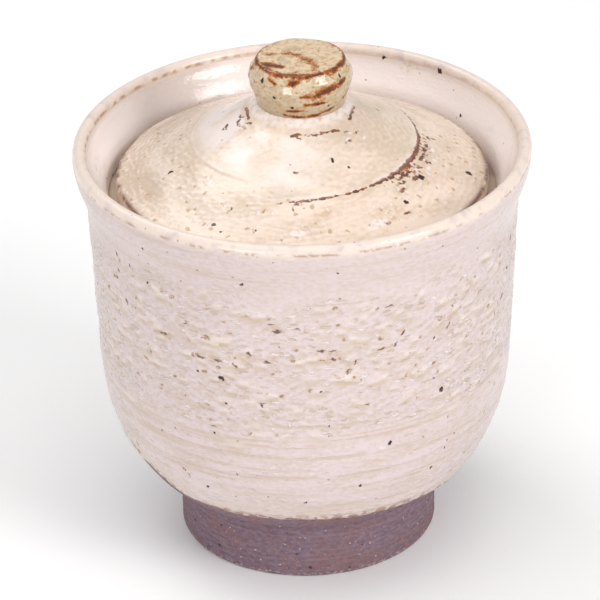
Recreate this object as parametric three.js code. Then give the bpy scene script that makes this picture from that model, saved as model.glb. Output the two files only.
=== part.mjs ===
// Lidded stoneware custard cup, as a potter builds it: a thrown bowl, a foot ring luted under it,
// a seat ring luted inside the mouth, and a drop-in lid with a knob luted on top.
// Millimetres, +Z up. The origin is the centre of the face that the foot ring stands on.
import * as THREE from "three";
import { mergeVertices } from "three/addons/utils/BufferGeometryUtils.js";

// Facets round the wheel, and points along each curved stretch of an outline
const wheelFacets = 64;
const curvePoints = 8;
const samePoint = 1e-6;

// Layer of slip between two clay pieces that are luted together, and glaze to glaze where the lid rests
const slipLayer = 0.2;
const restingGap = 0.2;

// Foot ring
const footRadius = 25.9;
const footHeight = 11.8;
const footRingWidth = 5.4;
const footInnerTaper = 1.2;
const footChamfer = 0.6;

// Bowl, from the foot up
const heelInset = 4.5;
const bowlCurveTop = 42;
const lowerWallRadius = 41.1;
const upperWallRadius = 42.4;
const wall = 4.2;
const floorThickness = 5.6;

// Mouth: the wall flares out over flareHeight to a thin rounded lip
const cupHeight = 84.9;
const rimRadius = 45;
const flareHeight = 12.9;
const lipThickness = 2.6;
const lipHeight = 1.6;

// How far along the flare's height its curve still follows the wall, and from where it follows the lip.
// The mouth's inner face has the same pair, counted down from the lip.
const flareLeavesWall = 0.35;
const flareMeetsLip = 0.62;
const mouthLeavesLip = 0.3;
const mouthMeetsWall = 0.5;

// Seat ring: a ledge inside the mouth, with a sloping bracket under it
const seatDepth = 10.5;
const seatWidth = 4.4;
const seatThickness = 3;
const seatBracket = 3.6;
const seatEdge = 0.6;

// Lid, measured up from the face that it rests on
const lidClearance = 1.3;
const lidBearing = 3.7;
const lidEdgeRound = 0.8;
const lidEdgeBulge = 0.5;
const lidEdgeHeight = 3.7;
const lidRise = 18.4;
const lidWall = 3.8;
const lidSweep = 1.1;
const collarHeight = 0.9;
const collarWidth = 1.6;

// Knob, measured up from its luted base
const knobBaseRadius = 9;
const knobRadius = 10.2;
const knobTopRadius = 8.4;
const knobShoulder = 6.6;
const knobHeight = 9.8;
const knobCrown = 0.3;

// Places that follow from the sizes above
const heelCentre = footRadius - heelInset;
const floorTop = footHeight + floorThickness;
const flareStart = cupHeight - flareHeight;
const lipStart = cupHeight - lipHeight;
const mouthRadius = upperWallRadius - wall;
const seatTop = cupHeight - seatDepth;
const throatRadius = mouthRadius - seatWidth;
const lidRadius = mouthRadius - lidClearance;
const lidCornerRadius = lidRadius - lidEdgeBulge;
const collarRadius = knobBaseRadius + collarWidth;

const creamGlaze = new THREE.MeshStandardMaterial({ color: 0xe8dcd3, roughness: 0.3, metalness: 0 });
const seatGlaze = new THREE.MeshStandardMaterial({ color: 0xe6d8cb, roughness: 0.3, metalness: 0 });
const warmGlaze = new THREE.MeshStandardMaterial({ color: 0xeedfcd, roughness: 0.28, metalness: 0 });
const ironGlaze = new THREE.MeshStandardMaterial({ color: 0xc2ab80, roughness: 0.22, metalness: 0 });
const bareClay = new THREE.MeshStandardMaterial({ color: 0x705a59, roughness: 0.85, metalness: 0 });

function point(radius, height) {
  return new THREE.Vector2(radius, height);
}

// Joins points and sampled curves into one outline, without repeating the point where two stretches meet.
function outline(...stretches) {
  const joined = [];
  for (const stretch of stretches) {
    const points = stretch instanceof THREE.Curve ? stretch.getPoints(curvePoints) : [stretch];
    for (const next of points) {
      const last = joined[joined.length - 1];
      if (!last || last.distanceTo(next) > samePoint) joined.push(next);
    }
  }
  return joined;
}

// A solid turned about Z. Its outline runs outwards along the bottom, up the outside and back along the top.
// It starts and ends on the axis, or goes once round the section of a ring.
function turned(name, points, material) {
  const lathe = new THREE.LatheGeometry(points, wheelFacets);
  lathe.deleteAttribute("normal");
  lathe.deleteAttribute("uv");
  lathe.rotateX(Math.PI / 2);
  const geometry = mergeVertices(lathe);
  const corners = Array.from(geometry.index.array);
  const kept = [];
  for (let i = 0; i < corners.length; i += 3) {
    const [a, b, c] = corners.slice(i, i + 3);
    if (a !== b && b !== c && c !== a) kept.push(a, b, c);
  }
  geometry.setIndex(kept);
  geometry.computeVertexNormals();
  const mesh = new THREE.Mesh(geometry, material);
  mesh.name = name;
  return mesh;
}

// Quarter of an ellipse about (heelCentre, bowlCurveTop), from the foot side to the upright wall.
function bowlCurve(wallRadius, startRadius, startHeight) {
  const width = wallRadius - heelCentre;
  const start = -Math.acos((startRadius - heelCentre) / width);
  const depth = (bowlCurveTop - startHeight) / -Math.sin(start);
  return new THREE.EllipseCurve(heelCentre, bowlCurveTop, width, depth, start, 0, false);
}

// The wall's inner face is straight and leans out a little from the bowl's curve to the mouth.
function innerWallRadius(height) {
  const share = (height - bowlCurveTop) / (flareStart - bowlCurveTop);
  return THREE.MathUtils.lerp(lowerWallRadius, upperWallRadius, Math.min(share, 1)) - wall;
}

function cupBody() {
  const flare = new THREE.CubicBezierCurve(
    point(upperWallRadius, flareStart),
    point(upperWallRadius, THREE.MathUtils.lerp(flareStart, lipStart, flareLeavesWall)),
    point(rimRadius, THREE.MathUtils.lerp(flareStart, lipStart, flareMeetsLip)),
    point(rimRadius, lipStart),
  );
  const lip = new THREE.EllipseCurve(
    rimRadius - lipThickness / 2, lipStart, lipThickness / 2, lipHeight, 0, Math.PI, false,
  );
  const innerLip = rimRadius - lipThickness;
  const mouth = new THREE.CubicBezierCurve(
    point(innerLip, lipStart),
    point(innerLip, THREE.MathUtils.lerp(lipStart, seatTop, mouthLeavesLip)),
    point(mouthRadius, THREE.MathUtils.lerp(lipStart, seatTop, mouthMeetsWall)),
    point(mouthRadius, seatTop),
  );
  const innerBowl = bowlCurve(lowerWallRadius - wall, heelCentre, floorTop);
  const innerBowlDown = innerBowl.getPoints(curvePoints).reverse();
  return turned(
    "cup_body",
    outline(
      point(0, footHeight),
      bowlCurve(lowerWallRadius, footRadius, footHeight),
      flare,
      lip,
      mouth,
      point(mouthRadius, flareStart),
      ...innerBowlDown,
      point(0, floorTop),
    ),
    creamGlaze,
  );
}

function footRing() {
  const top = footHeight - slipLayer;
  const innerRadius = footRadius - footRingWidth;
  return turned(
    "foot_ring",
    outline(
      point(innerRadius + footChamfer, 0),
      point(footRadius - footChamfer, 0),
      point(footRadius, footChamfer),
      point(footRadius, top),
      point(innerRadius - footInnerTaper, top),
      point(innerRadius, footChamfer),
      point(innerRadius + footChamfer, 0),
    ),
    bareClay,
  );
}

function lidSeatRing() {
  const ledgeBottom = seatTop - seatThickness;
  const bracketBottom = ledgeBottom - seatBracket;
  const ledgeWall = innerWallRadius(seatTop) - slipLayer;
  const bendWall = innerWallRadius(flareStart) - slipLayer;
  const bracketWall = innerWallRadius(bracketBottom) - slipLayer;
  return turned(
    "lid_seat_ring",
    outline(
      point(bracketWall - seatEdge, bracketBottom),
      point(bracketWall, bracketBottom),
      point(bendWall, flareStart),
      point(ledgeWall, seatTop),
      point(throatRadius + seatEdge, seatTop),
      point(throatRadius, seatTop - seatEdge),
      point(throatRadius, ledgeBottom),
      point(bracketWall - seatEdge, bracketBottom),
    ),
    seatGlaze,
  );
}

// Height of the lid's upper face at a radius: it sweeps up from the edge to the collar round the knob.
function lidTopHeight(radius) {
  const share = (lidCornerRadius - radius) / (lidCornerRadius - collarRadius);
  const collarFoot = lidRise - collarHeight;
  return lidEdgeHeight + (collarFoot - lidEdgeHeight) * Math.max(share, 0) ** lidSweep;
}

// Points of the upper face, or of the lower face when sunk by the lid's wall, between two radii.
function lidFace(fromRadius, toRadius, sunk) {
  const points = [];
  for (let step = 0; step <= curvePoints; step += 1) {
    const radius = THREE.MathUtils.lerp(fromRadius, toRadius, step / curvePoints);
    points.push(point(radius, lidTopHeight(radius) - sunk));
  }
  return points;
}

function lidCover() {
  const bearingInner = lidRadius - lidBearing;
  const edge = new THREE.CubicBezierCurve(
    point(lidRadius - lidEdgeRound, 0),
    point(lidRadius, 0),
    point(lidRadius, lidEdgeHeight - lidEdgeRound),
    point(lidCornerRadius, lidEdgeHeight),
  );
  const collar = new THREE.QuadraticBezierCurve(
    point(collarRadius, lidRise - collarHeight),
    point(knobBaseRadius + collarWidth / 2, lidRise - collarHeight / 4),
    point(knobBaseRadius, lidRise),
  );
  return turned(
    "lid_cover",
    outline(
      point(0, lidTopHeight(collarRadius) - lidWall),
      ...lidFace(collarRadius, bearingInner - lidEdgeRound, lidWall),
      point(bearingInner, 0),
      edge,
      ...lidFace(lidCornerRadius, collarRadius, 0),
      collar,
      point(0, lidRise),
    ),
    warmGlaze,
  );
}

function lidKnob() {
  const shoulder = new THREE.CubicBezierCurve(
    point(knobRadius, knobShoulder),
    point(knobRadius, knobHeight - (knobHeight - knobShoulder) / 3),
    point((knobRadius + 2 * knobTopRadius) / 3, knobHeight),
    point(knobTopRadius, knobHeight),
  );
  return turned(
    "lid_knob",
    outline(point(0, 0), point(knobBaseRadius, 0), shoulder, point(0, knobHeight + knobCrown)),
    ironGlaze,
  );
}

const knob = lidKnob();
knob.position.z = lidRise + slipLayer;

const lid = new THREE.Group();
lid.add(lidCover(), knob);
lid.position.z = seatTop + restingGap;

const custardCup = new THREE.Group();
custardCup.add(cupBody(), footRing(), lidSeatRing(), lid);

export default custardCup;
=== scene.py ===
import math
from types import SimpleNamespace

import bpy
import numpy as np
from mathutils import Matrix, Vector


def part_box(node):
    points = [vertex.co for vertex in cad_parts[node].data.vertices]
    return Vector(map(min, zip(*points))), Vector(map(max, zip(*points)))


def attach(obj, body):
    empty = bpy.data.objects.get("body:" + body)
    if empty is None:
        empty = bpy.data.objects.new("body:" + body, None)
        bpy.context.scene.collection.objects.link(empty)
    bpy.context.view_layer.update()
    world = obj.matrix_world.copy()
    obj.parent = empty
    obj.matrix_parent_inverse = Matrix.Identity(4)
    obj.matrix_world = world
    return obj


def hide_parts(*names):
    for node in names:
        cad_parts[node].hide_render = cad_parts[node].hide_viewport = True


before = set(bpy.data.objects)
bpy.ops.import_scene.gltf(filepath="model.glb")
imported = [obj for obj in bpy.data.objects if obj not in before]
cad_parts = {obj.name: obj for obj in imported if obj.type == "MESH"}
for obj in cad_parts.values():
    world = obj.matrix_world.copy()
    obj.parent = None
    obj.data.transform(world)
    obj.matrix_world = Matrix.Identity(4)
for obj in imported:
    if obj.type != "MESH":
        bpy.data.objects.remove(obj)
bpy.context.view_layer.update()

# Lidded stoneware custard cup: cream slip glaze over dark clay, a bare foot, a lid with an iron-marked knob.
# Shapes are worked out in millimetres in the frame's axes, and angles in degrees from the front, positive to
# the right. Pieces go into Blender in metres.
MM = 0.001


def node_mm(name):
    """Lowest and highest corner of a CAD node, in millimetres."""
    low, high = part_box(name)
    return np.array(low) / MM, np.array(high) / MM


cup_low, cup_high = node_mm("cup_body")
_, foot_high = node_mm("foot_ring")
seat_low, seat_high = node_mm("lid_seat_ring")
lid_low, lid_high = node_mm("lid_cover")
knob_low, knob_high = node_mm("lid_knob")

# Cup, as in the CAD part
RIM_RADIUS = cup_high[0]
RIM_TOP = cup_high[2]
HEEL_HEIGHT = cup_low[2]
FOOT_RADIUS = foot_high[0]
HEEL_INSET = 4.5
BOWL_TOP = 42
LOWER_WALL_RADIUS = 41.1
UPPER_WALL_RADIUS = 42.4
FLARE_HEIGHT = 12.9
FLARE_LEAVES_WALL = 0.35
FLARE_MEETS_LIP = 0.62
MOUTH_LEAVES_LIP = 0.3
MOUTH_MEETS_WALL = 0.5
LIP_THICKNESS = 2.6
LIP_HEIGHT = 1.6
WALL = 4.2
FLOOR = 5.6
FOOT_RING_WIDTH = 5.4
FOOT_INNER_TAPER = 1.2
SEAT_TOP = seat_high[2]
SEAT_WIDTH = 4.4
SEAT_SLIP = 0.2
SEAT_TOE = 0.6
SEAT_THICKNESS = 3

# Lid and knob, as in the CAD part
LID_RADIUS = lid_high[0]
LID_REST = lid_low[2]
LID_TOP = lid_high[2]
LID_EDGE_HEIGHT = 3.7
LID_EDGE_ROUND = 0.8
LID_WALL = 3.8
LID_SWEEP = 1.1
COLLAR_HEIGHT = 0.9
COLLAR_WIDTH = 1.6
KNOB_BASE_RADIUS = 9
KNOB_RADIUS = knob_high[0]
KNOB_TOP_RADIUS = 8.4
KNOB_SHOULDER = 6.6
KNOB_BASE = knob_low[2]
KNOB_TOP = knob_high[2]

# Where the surfaces are softer or narrower than the solids
FOOT_SOFT_EDGE = 0.7
SEAT_SOFT_EDGE = 0.8
LUTED_OVERLAP = 0.3
LID_BEARING = 3.6
LID_CORNER = 0.35
LID_EDGE_SWELL = 0.1
FILLET_WIDTH = 0.7
FILLET_RISE = 0.9
FILLET_GAP = 0.2
KNOB_NECK_RADIUS = 8.45
KNOB_CROWN = 0.15
KNOB_EDGE_WIDER = 0.4
KNOB_EDGE_DROP = 0.6
KNOB_EDGE_ROUND = 1.0
SHOULDER_ROUND = 0.3
BEVEL_START_INSET = 0.05
BEVEL_INSET = 0.4
BEVEL_HEIGHT = 1.3

# Relief of the skins
GLAZE_LINE = 18.5
GLAZE_THICKNESS = 0.25
THROWING_STEP = 4
RING_DEPTH = 0.06
DRAG_DEPTH = 0.06
LUMP_DEPTH = 0.05
BAR_HEIGHT = 0.18
LINE_DEPTH = 0.03
INSIDE_RING_DEPTH = 0.03
RIM_RISE = 0.7
RIM_RISE_ANGLE = 140
RIM_RISE_START = 66
TRIM_STEP = 1.1
TRIM_DEPTH = 0.018
CLAY_GRAIN_DEPTH = 0.02
SEAT_RIPPLE_DEPTH = 0.03
RIDGE_HEIGHT = 0.32
LID_DRAG_DEPTH = 0.025
LID_LUMP_DEPTH = 0.05
PINCH_DEPTH = 0.06
KNOB_RIPPLE_DEPTH = 0.02

# Columns round the wheel
CUP_COLUMNS = 440
FOOT_COLUMNS = 360
SEAT_COLUMNS = 240
LID_COLUMNS = 480
KNOB_COLUMNS = 320


# Outlines

def line(start, end, rows):
    """Straight stretch of an outline: start plus a growing share of the way to end, as (radius, height)."""
    share = np.linspace(0, 1, rows)[:, None]
    return np.array(start) * (1 - share) + np.array(end) * share


def arc(centre, width, depth, start, end, rows):
    """Stretch of an ellipse: the centre plus width times the cosine and depth times the sine of a turn, which
    goes from start to end in degrees."""
    turn = np.radians(np.linspace(start, end, rows))
    return np.column_stack((centre[0] + width * np.cos(turn), centre[1] + depth * np.sin(turn)))


def bezier(first, second, third, fourth, rows):
    """Cubic curve: its four points weighted by the terms of (1 - t + t) cubed, for t from 0 to 1."""
    t = np.linspace(0, 1, rows)[:, None]
    weights = ((1 - t) ** 3, 3 * t * (1 - t) ** 2, 3 * t**2 * (1 - t), t**3)
    return sum(weight * np.array(p) for weight, p in zip(weights, (first, second, third, fourth)))


def outline(*stretches):
    """Joins stretches that begin where the one before ends. Returns the points, and the stretch number of
    each."""
    points = np.concatenate([stretches[0]] + [s[1:] for s in stretches[1:]])
    numbers = np.repeat(range(len(stretches)), [len(stretches[0])] + [len(s) - 1 for s in stretches[1:]])
    return points, numbers


# Fields on the wheel

def smooth(value, low, high):
    """Rises from 0 at low to 1 at high as 3t squared minus 2t cubed."""
    t = np.clip((value - low) / (high - low), 0, 1)
    return t * t * (3 - 2 * t)


def band(value, low, high, soft):
    """1 between low and high, falling to 0 over the soft distance outside them."""
    return smooth(value, low - soft, low) * (1 - smooth(value, high, high + soft))


def bell(value, width):
    """1 where the value is 0, falling off as e to the minus square of value over width."""
    return np.exp(-((value / width) ** 2))


def from_angle(angle, centre):
    """Degrees round the wheel from a centre, between -180 and 180."""
    return (angle - centre + 180) % 360 - 180


def waves(angle, height, seed, count, round_waves, lengths):
    """Seeded field of about unit size: a mean of cosines, each with a whole number of waves round the wheel
    and its own upright wavelength in millimetres, so that the field closes on itself."""
    draw = np.random.default_rng(seed)
    turn = np.radians(angle)
    total = np.zeros(np.broadcast(angle, height).shape)
    for _ in range(count):
        whole = draw.integers(round_waves[0], round_waves[1] + 1)
        upright = 2 * math.pi / draw.uniform(*lengths)
        lean = draw.choice((-1, 1))
        total += np.cos(lean * whole * turn + upright * height + draw.uniform(0, 2 * math.pi))
    return total / math.sqrt(count / 2)


def brush_stroke(across, up, start, end, widths):
    """A stroke from start to end on a flat sheet: a bell across its line, whose width runs from the first to
    the second of the widths, fading past its ends over about a width."""
    line_along = np.array(end) - np.array(start)
    length = np.hypot(*line_along)
    along = ((across - start[0]) * line_along[0] + (up - start[1]) * line_along[1]) / length
    beside = ((up - start[1]) * line_along[0] - (across - start[0]) * line_along[1]) / length
    share = np.clip(along / length, 0, 1)
    width = widths[0] * (1 - share) + widths[1] * share
    past = np.maximum(np.maximum(-along, along - length), 0)
    return np.exp(-((beside / width) ** 2) - (past / width) ** 2)


# Turned surfaces

def wheel_angles(columns):
    """Angles of a surface's columns in degrees, from the back round through the front, as one row."""
    return (-180 + 360 * np.arange(columns) / columns)[None, :]


def wheel_faces(rows, columns, ring):
    """Corner numbers of the faces between neighbouring rows and columns, counted row by row. A ring's last
    row joins its first. Any other surface has a pole for each end, joined to its row by triangles."""
    body = np.arange(rows * columns).reshape(rows, columns)
    lower, upper = (body, np.roll(body, -1, axis=0)) if ring else (body[:-1], body[1:])
    quads = np.stack((lower, np.roll(lower, -1, axis=1), np.roll(upper, -1, axis=1), upper), axis=-1)
    faces = quads.reshape(-1, 4).tolist()
    if ring:
        return faces
    start, end = np.full(columns, body.size), np.full(columns, body.size + 1)
    faces += np.column_stack((start, np.roll(body[0], -1), body[0])).tolist()
    faces += np.column_stack((body[-1], np.roll(body[-1], -1), end)).tolist()
    return faces


def turned(name, points, angle, relief, lift=0.0, ring=False, fields=None):
    """Surface turned about Z: outline point i at angle j lies at radius times (sine, minus cosine) of the
    angle, pushed out by relief[i, j] along the outline's normal and up by lift. The normal is the outline's
    direction turned a quarter clockwise. Ends on the axis become poles, and a ring's last point repeats its
    first."""
    along = np.gradient(points, axis=0)
    if ring:
        along[0] = along[-1] = points[1] - points[-2]
    along /= np.linalg.norm(along, axis=1)[:, None]
    radius = points[:, :1] + along[:, 1:] * relief
    height = points[:, 1:] - along[:, :1] * relief + lift
    turn = np.radians(angle)
    grid = np.stack((radius * np.sin(turn), -radius * np.cos(turn), height), axis=-1) * MM
    kept = slice(0, -1) if ring else slice(1, -1)
    rows, columns = grid[kept].shape[:2]

    def spread(values):
        """The kept rows as one list of vertices, with the two poles at its end."""
        full = np.broadcast_to(values, grid.shape[:2] + values.shape[2:])
        flat = full[kept].reshape(rows * columns, *values.shape[2:])
        return flat if ring else np.concatenate((flat, full[:1, 0], full[-1:, 0]))

    mesh = bpy.data.meshes.new(name)
    mesh.from_pydata(spread(grid), [], wheel_faces(rows, columns, ring))
    for label, values in (fields or {}).items():
        field = mesh.attributes.new(label, "FLOAT", "POINT")
        field.data.foreach_set("value", spread(values).astype(np.float32))
    mesh.shade_smooth()
    piece = bpy.data.objects.new(name, mesh)
    bpy.context.scene.collection.objects.link(piece)
    return piece


# Cup

BOWL_STRETCH, FLARE_STRETCH, MOUTH_STRETCH = 1, 3, 5
DEGREE_LENGTH = math.radians(1) * UPPER_WALL_RADIUS
LIP_START = RIM_TOP - LIP_HEIGHT
LIP_MIDDLE = RIM_RADIUS - LIP_THICKNESS / 2

# Zones of the skin: lowest and highest place, and how far they fade beyond
MIDDLE_ZONE = (46, 69, 6)
LOW_ZONE = (19, 44, 5)
NECK_ZONE = (71, 82, 3)
SCARRED_ZONE = (28, 71, 5)

# Scars of coarse grains: how many, their lengths and widths, the mean and spread of their heights, their
# lean and size, how many widths lower their hollows lie, and their pits
SCAR_COUNT = 760
SCAR_LENGTHS = (1.0, 4.2)
SCAR_WIDTHS = (0.38, 0.72)
SCAR_HEIGHTS = (57.5, 8.5)
SCAR_LEAN = 0.06
SCAR_SIZES = (0.3, 1)
SCAR_LIMIT = 1.2
HOLLOW_DROP = 1.7
PIT_LENGTH = 0.6
PIT_WIDTH = 0.45

# Lines along the lip's edges: height over the lip's start, and width
OUTER_LINE = (0.1, 0.17)
INNER_LINE = (0.45, 0.26)


def cup_outline():
    """Under the bowl, up its heel, wall and flare, over the lip, and down the mouth, wall and bowl inside."""
    heel = FOOT_RADIUS - HEEL_INSET
    bowl_width = LOWER_WALL_RADIUS - heel
    start = math.degrees(math.acos(HEEL_INSET / bowl_width))
    bowl_depth = (BOWL_TOP - HEEL_HEIGHT) / math.sin(math.radians(start))
    flare_start = RIM_TOP - FLARE_HEIGHT
    lip_inner = RIM_RADIUS - LIP_THICKNESS
    mouth = UPPER_WALL_RADIUS - WALL
    inner_wall = LOWER_WALL_RADIUS - WALL
    floor = HEEL_HEIGHT + FLOOR
    flare_rise = LIP_START - flare_start
    mouth_drop = LIP_START - SEAT_TOP
    return outline(
        line((0, HEEL_HEIGHT), (FOOT_RADIUS, HEEL_HEIGHT), rows=4),
        arc((heel, BOWL_TOP), bowl_width, bowl_depth, -start, 0, rows=62),
        line((LOWER_WALL_RADIUS, BOWL_TOP), (UPPER_WALL_RADIUS, flare_start), rows=92),
        bezier(
            (UPPER_WALL_RADIUS, flare_start),
            (UPPER_WALL_RADIUS, flare_start + FLARE_LEAVES_WALL * flare_rise),
            (RIM_RADIUS, flare_start + FLARE_MEETS_LIP * flare_rise),
            (RIM_RADIUS, LIP_START),
            rows=26,
        ),
        arc((LIP_MIDDLE, LIP_START), LIP_THICKNESS / 2, LIP_HEIGHT, 0, 180, rows=18),
        bezier(
            (lip_inner, LIP_START),
            (lip_inner, LIP_START - MOUTH_LEAVES_LIP * mouth_drop),
            (mouth, LIP_START - MOUTH_MEETS_WALL * mouth_drop),
            (mouth, SEAT_TOP),
            rows=14,
        ),
        line((mouth, SEAT_TOP), (inner_wall, BOWL_TOP), rows=5),
        arc((heel, BOWL_TOP), inner_wall - heel, BOWL_TOP - floor, 0, -90, rows=10),
        line((heel, floor), (0, floor), rows=3),
    )


def drag_scars(angle, height, seed):
    """Bars that coarse grains raised as the slip was dragged round, each with a hollow under it and a pit at
    one end. A bar falls off as a fourth power along its length and as a bell across it, and its hollow is the
    same shape lower down. Returns the bars, the hollows and the pits."""
    draw = np.random.default_rng(seed)
    bars = np.zeros(np.broadcast(angle, height).shape)
    hollows = np.zeros_like(bars)
    pits = np.zeros_like(bars)
    for _ in range(SCAR_COUNT):
        length = draw.uniform(*SCAR_LENGTHS)
        width = draw.uniform(*SCAR_WIDTHS)
        along = from_angle(angle, draw.uniform(-180, 180)) * DEGREE_LENGTH
        across = height - draw.normal(*SCAR_HEIGHTS) - draw.normal(0, SCAR_LEAN) * along
        end = draw.choice((-1, 1)) * (length / 2 + width)
        size = draw.uniform(*SCAR_SIZES)
        lengthwise = np.exp(-((2 * along / length) ** 4))
        bars += size * lengthwise * bell(across, width)
        hollows += size * lengthwise * bell(across + HOLLOW_DROP * width, width)
        depth = draw.uniform(0, 1) ** 2
        pits += depth * np.exp(-(((along - end) / PIT_LENGTH) ** 2) - (across / PIT_WIDTH) ** 2)
    return np.minimum(bars, SCAR_LIMIT), np.minimum(hollows, SCAR_LIMIT), np.minimum(pits, 1)


def glaze_line(angle):
    """Height where the glaze ends above the heel: the even line, raised in a band on the left and a bell at
    the back, lowered in a bell on the right, and waved a little all round."""
    left = band(angle, -115, -68, 28)
    right = bell(from_angle(angle, 75), 26)
    back = bell(from_angle(angle, 180), 40)
    wavy = np.cos(np.radians(7 * angle + 20))
    return GLAZE_LINE + 6.5 * left - 2.6 * right + 0.8 * back + 0.25 * wavy


def cup_skin(angle, height, outside):
    """The makings of the cup's skin. Zones are 1 inside: middle, low and neck. Fields of about unit size are
    lumps, dragged slip, throwing rings and turning lines, which climb as the wheel turns and fade in places,
    and scars. Above is the height over the glaze line."""
    climb = height - THROWING_STEP * angle / 360
    lumps = waves(angle, height, seed=12, count=40, round_waves=(4, 18), lengths=(6, 16))
    come_and_go = waves(angle, height, seed=16, count=30, round_waves=(1, 7), lengths=(5, 14))
    fading = 0.5 + 0.5 * np.tanh(2 * come_and_go)
    level = 0 * angle
    scarred = band(height, *SCARRED_ZONE) * outside
    bars, hollows, pits = drag_scars(angle, height, seed=15)
    return SimpleNamespace(
        middle=band(height + 1.5 * lumps, *MIDDLE_ZONE) * outside,
        low=band(height, *LOW_ZONE) * outside,
        neck=band(height, *NECK_ZONE) * outside,
        lumps=lumps,
        drag=np.tanh(waves(angle, height, seed=11, count=120, round_waves=(40, 110), lengths=(1.3, 2.6))),
        rings=waves(level, climb, seed=13, count=18, round_waves=(0, 0), lengths=(1.6, 4.4)) * fading,
        lines=waves(level, climb, seed=14, count=16, round_waves=(0, 0), lengths=(1.1, 3.2)) * fading,
        bars=bars * scarred,
        hollows=hollows * scarred,
        pits=pits * scarred,
        above=np.clip(height - glaze_line(angle), -8, 8),
    )


def cup_relief(skin, radius, height, outside, inside):
    """Relief of the cup: each field times its depth and its zones, with a step down to the bare heel and a
    rolled edge above it. The outside never passes the rim's radius."""
    rolled = bell(skin.above - 0.9, 0.7)
    glaze_step = (smooth(skin.above, -0.5, 0.5) - 1) + 0.5 * rolled
    relief = DRAG_DEPTH * skin.drag * (skin.middle + 0.3 * skin.low)
    relief = relief + LUMP_DEPTH * skin.lumps * (skin.middle + 0.4 * skin.low)
    relief = relief + RING_DEPTH * skin.rings * (skin.low + 0.3 * skin.middle)
    relief = relief + LINE_DEPTH * skin.lines * (skin.neck + 0.4 * skin.low)
    relief = relief + BAR_HEIGHT * (skin.bars - 0.4 * skin.hollows - 0.6 * skin.pits)
    relief = relief + INSIDE_RING_DEPTH * skin.rings * inside
    relief = relief + GLAZE_THICKNESS * glaze_step * (outside & (height < BOWL_TOP))
    return np.where(outside, np.minimum(relief, RIM_RADIUS - radius), relief)


def rim_lift(angle, height):
    """How far the mouth rises out of level: the square of half of 1 plus the cosine of the angle from the
    highest place, growing with the height."""
    around = 0.5 + 0.5 * np.cos(np.radians(angle - RIM_RISE_ANGLE))
    return smooth(height, RIM_RISE_START, RIM_TOP) * RIM_RISE * around**2


def cup_fields(skin, angle, radius, height, inside):
    """Fields that the glaze reads: thickness and marks of the slip, the inside, which grows from a half at
    the seat to one and a half at the lip, the height over the glaze line, the lip, and lines along its
    edges."""
    level = np.zeros_like(angle)
    near_lip = height > LIP_START - 3
    outer_line = bell(height - LIP_START - OUTER_LINE[0], OUTER_LINE[1])
    inner_line = bell(height - LIP_START - INNER_LINE[0], INNER_LINE[1])
    thick = 0.2 * skin.drag * skin.middle + 0.1 * skin.rings * skin.low
    return {
        "slip": thick + 0.1 * skin.lumps * (skin.middle + skin.low),
        "bars": skin.bars,
        # The hollows carry a real dip, and the shadow painted under the bars
        "hollows": skin.hollows,
        "pits": skin.pits,
        "turned_lines": 0.8 * skin.neck + 1.2 * skin.low + level,
        "dragged": skin.middle + 0.4 * skin.low,
        "inside": smooth(height, SEAT_TOP, LIP_START) * inside + 0.5 * inside + level,
        "above_glaze": skin.above,
        "lip": smooth(height, LIP_START - 1.2, LIP_START + 0.4) + level,
        "outer_edge": outer_line * (near_lip & (radius > LIP_MIDDLE)) + level,
        "inner_edge": inner_line * (near_lip & (radius <= LIP_MIDDLE)) + level,
    }


def cup_piece():
    """The bowl with its mouth. The skin has dragged slip in the middle, throwing rings below and fine
    turning lines under the rim. The glaze ends in a rolled edge above the bare heel, and the rim rises at
    the back."""
    points, stretch = cup_outline()
    angle = wheel_angles(CUP_COLUMNS)
    radius, height = points[:, :1], points[:, 1:]
    stretch = stretch[:, None]
    outside = (stretch >= BOWL_STRETCH) & (stretch <= FLARE_STRETCH)
    inside = stretch >= MOUTH_STRETCH
    skin = cup_skin(angle, height, outside)
    relief = cup_relief(skin, radius, height, outside, inside)
    fields = cup_fields(skin, angle, radius, height, inside)
    return turned("cup_glazed_body", points, angle, relief, rim_lift(angle, height), fields=fields)


# Foot ring and lid seat

def foot_piece():
    """The foot ring: turned walls with fine trimming lines, softened edges and a narrow standing face. The
    lines and the grain only cut into it."""
    inner = FOOT_RADIUS - FOOT_RING_WIDTH
    inner_top = inner - FOOT_INNER_TAPER
    top = HEEL_HEIGHT + LUTED_OVERLAP
    soft = FOOT_SOFT_EDGE
    points, _ = outline(
        line((inner + soft, 0), (FOOT_RADIUS - soft, 0), rows=8),
        arc((FOOT_RADIUS - soft, soft), soft, soft, -90, 0, rows=7),
        line((FOOT_RADIUS, soft), (FOOT_RADIUS, top), rows=80),
        line((FOOT_RADIUS, top), (inner_top, top), rows=6),
        line((inner_top, top), (inner, soft), rows=20),
        arc((inner + soft, soft), soft, soft, 180, 270, rows=7),
    )
    angle = wheel_angles(FOOT_COLUMNS)
    height = points[:, 1:]
    climb = height - TRIM_STEP * angle / 360
    trim = waves(0 * angle, climb, seed=31, count=22, round_waves=(0, 0), lengths=(0.45, 1.6))
    grain = waves(angle, height, seed=32, count=80, round_waves=(30, 120), lengths=(0.7, 2.0))
    wall = band(height, 0.9, HEEL_HEIGHT - 0.5, 0.4)
    relief = (TRIM_DEPTH * (trim - 1.5) + CLAY_GRAIN_DEPTH * (grain - 1.5)) * wall
    return turned("foot_ring_clay", points, angle, relief, ring=True, fields={"trim": trim * wall})


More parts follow.
